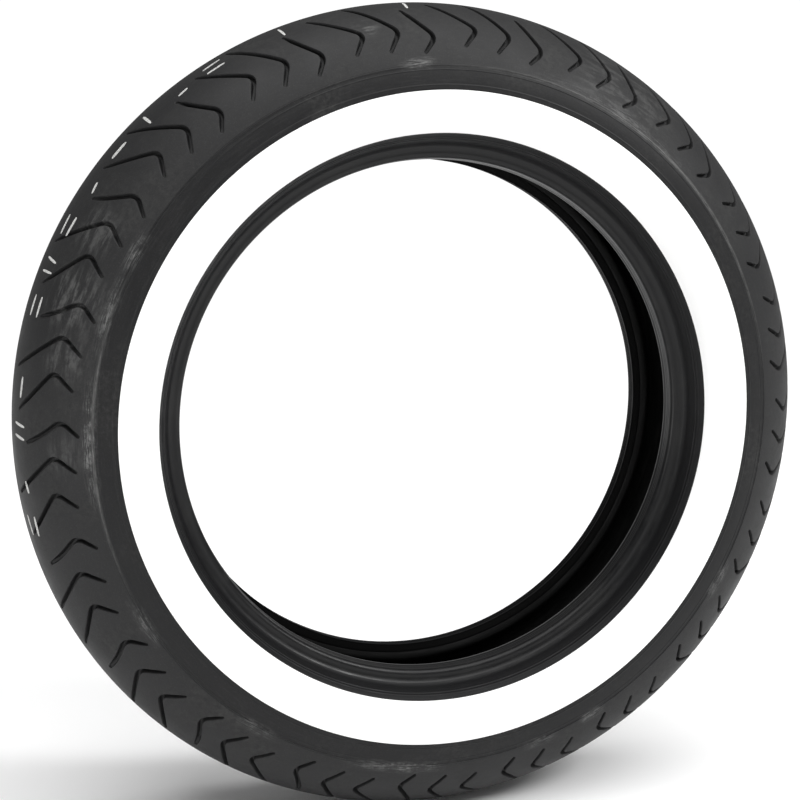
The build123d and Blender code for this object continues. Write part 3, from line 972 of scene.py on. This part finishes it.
def painted_marks():
    marks = crown_marks()
    marks.data.materials.append(paint())
    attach(marks, "root")


def hidden_layers():
    """The CAD nodes that stay as they are, between the outer pieces."""
    dress_hidden(cord_fabric("belt_fabric", BELT_CORD, 320.0), "belt_outer", "belt_inner")
    plies = ("carcass_ply_outer", "carcass_ply_inner", "bead_wrap_left", "bead_wrap_right")
    dress_hidden(cord_fabric("ply_fabric", PLY_CORD, 400.0), *plies)
    gum = ("belt_edge_strip_left", "belt_edge_strip_right", "bead_filler_left", "bead_filler_right")
    dress_hidden(base_rubber(), "tread_base", *gum)
    dress_hidden(bead_wire(), "bead_core_left", "bead_core_right")


# ---------------------------------------------------------------- studio

CAMERA_DISTANCE = 1.41357
CAMERA_AZIMUTH = -17.93
CAMERA_RISE = 8.89
LENS = 78.668
CENTRE_ACROSS = 0.0112289        # slopes from the middle of the view to the tyre's centre
CENTRE_DOWN = 0.0063095
AMBIENT = 0.24                   # what the white surround gives as light
SHOWN_WHITE = 1.06               # and how bright it shows
OVERHEAD_STRENGTH = 2.9
FLOOR_HALF = 14.0
FLOOR_CELLS = 28
UP = Vector((0, 0, 1))


def camera():
    """The photograph's view, from the left front and a little above."""
    azimuth, rise = radians(CAMERA_AZIMUTH), radians(CAMERA_RISE)
    back = Vector((sin(azimuth) * cos(rise), -cos(azimuth) * cos(rise), sin(rise)))
    right = Vector((cos(azimuth), sin(azimuth), 0))
    up = back.cross(right)
    yaw = atan2(CENTRE_ACROSS, 1)
    pitch = atan2(CENTRE_DOWN * cos(yaw), 1)
    forward = (-back * cos(yaw) - right * sin(yaw)) * cos(pitch) + up * sin(pitch)
    level = forward.cross(UP).normalized()
    turn = Matrix((level, level.cross(forward), -forward)).transposed()
    data = bpy.data.cameras.new("camera")
    data.lens = LENS
    data.clip_start = 0.05
    data.clip_end = 50.0
    obj = add_object("camera", data)
    obj.matrix_world = Matrix.Translation(back * CAMERA_DISTANCE) @ turn.to_4x4()
    bpy.context.scene.camera = obj


def aim(obj, direction):
    obj.rotation_euler = Vector(direction).to_track_quat("-Z", "Y").to_euler()


def area_light(name, place, size, power):
    """A soft box that faces the tyre's middle."""
    data = bpy.data.lights.new(name, "AREA")
    data.shape = "RECTANGLE"
    data.size, data.size_y = size
    data.energy = power
    obj = add_object(name, data)
    obj.location = place
    aim(obj, -Vector(place))


def overhead_light():
    """A very wide, soft light from above, which whitens the floor."""
    data = bpy.data.lights.new("overhead", "SUN")
    data.energy = OVERHEAD_STRENGTH
    data.angle = radians(70)
    aim(add_object("overhead", data), (-0.05, 0.35, -1.0))


def backdrop():
    """A white surround that shows at full strength and lights the tyre more dimly."""
    world = bpy.data.worlds.new("studio")
    world.use_nodes = True
    tree = world.node_tree
    shown = tree.nodes.new("ShaderNodeLightPath").outputs["Is Camera Ray"]
    strength = tree.nodes.new("ShaderNodeMapRange")
    strength.inputs["To Min"].default_value = AMBIENT
    strength.inputs["To Max"].default_value = SHOWN_WHITE
    tree.links.new(shown, strength.inputs["Value"])
    background = tree.nodes["Background"]
    background.inputs["Color"].default_value = (1, 1, 1, 1)
    tree.links.new(strength.outputs[0], background.inputs["Strength"])
    bpy.context.scene.world = world


def floor():
    """A plain pale floor under the tyre."""
    bm = bmesh.new()
    bmesh.ops.create_grid(bm, x_segments=FLOOR_CELLS, y_segments=FLOOR_CELLS, size=FLOOR_HALF)
    obj = finish_mesh("floor", bm, weighted=False)
    obj.location.z = cad_box[0][2]
    obj.data.materials.append(floor_material())


def studio():
    floor()
    backdrop()
    overhead_light()
    area_light("key", (1.9, -1.4, 1.7), (0.8, 0.8), 38.0)
    area_light("low_left", (-2.0, -1.4, -0.1), (0.4, 0.8), 10.0)
    bpy.context.scene.view_settings.view_transform = "Standard"


camera()
outer_pieces()
painted_marks()
hidden_layers()
studio()
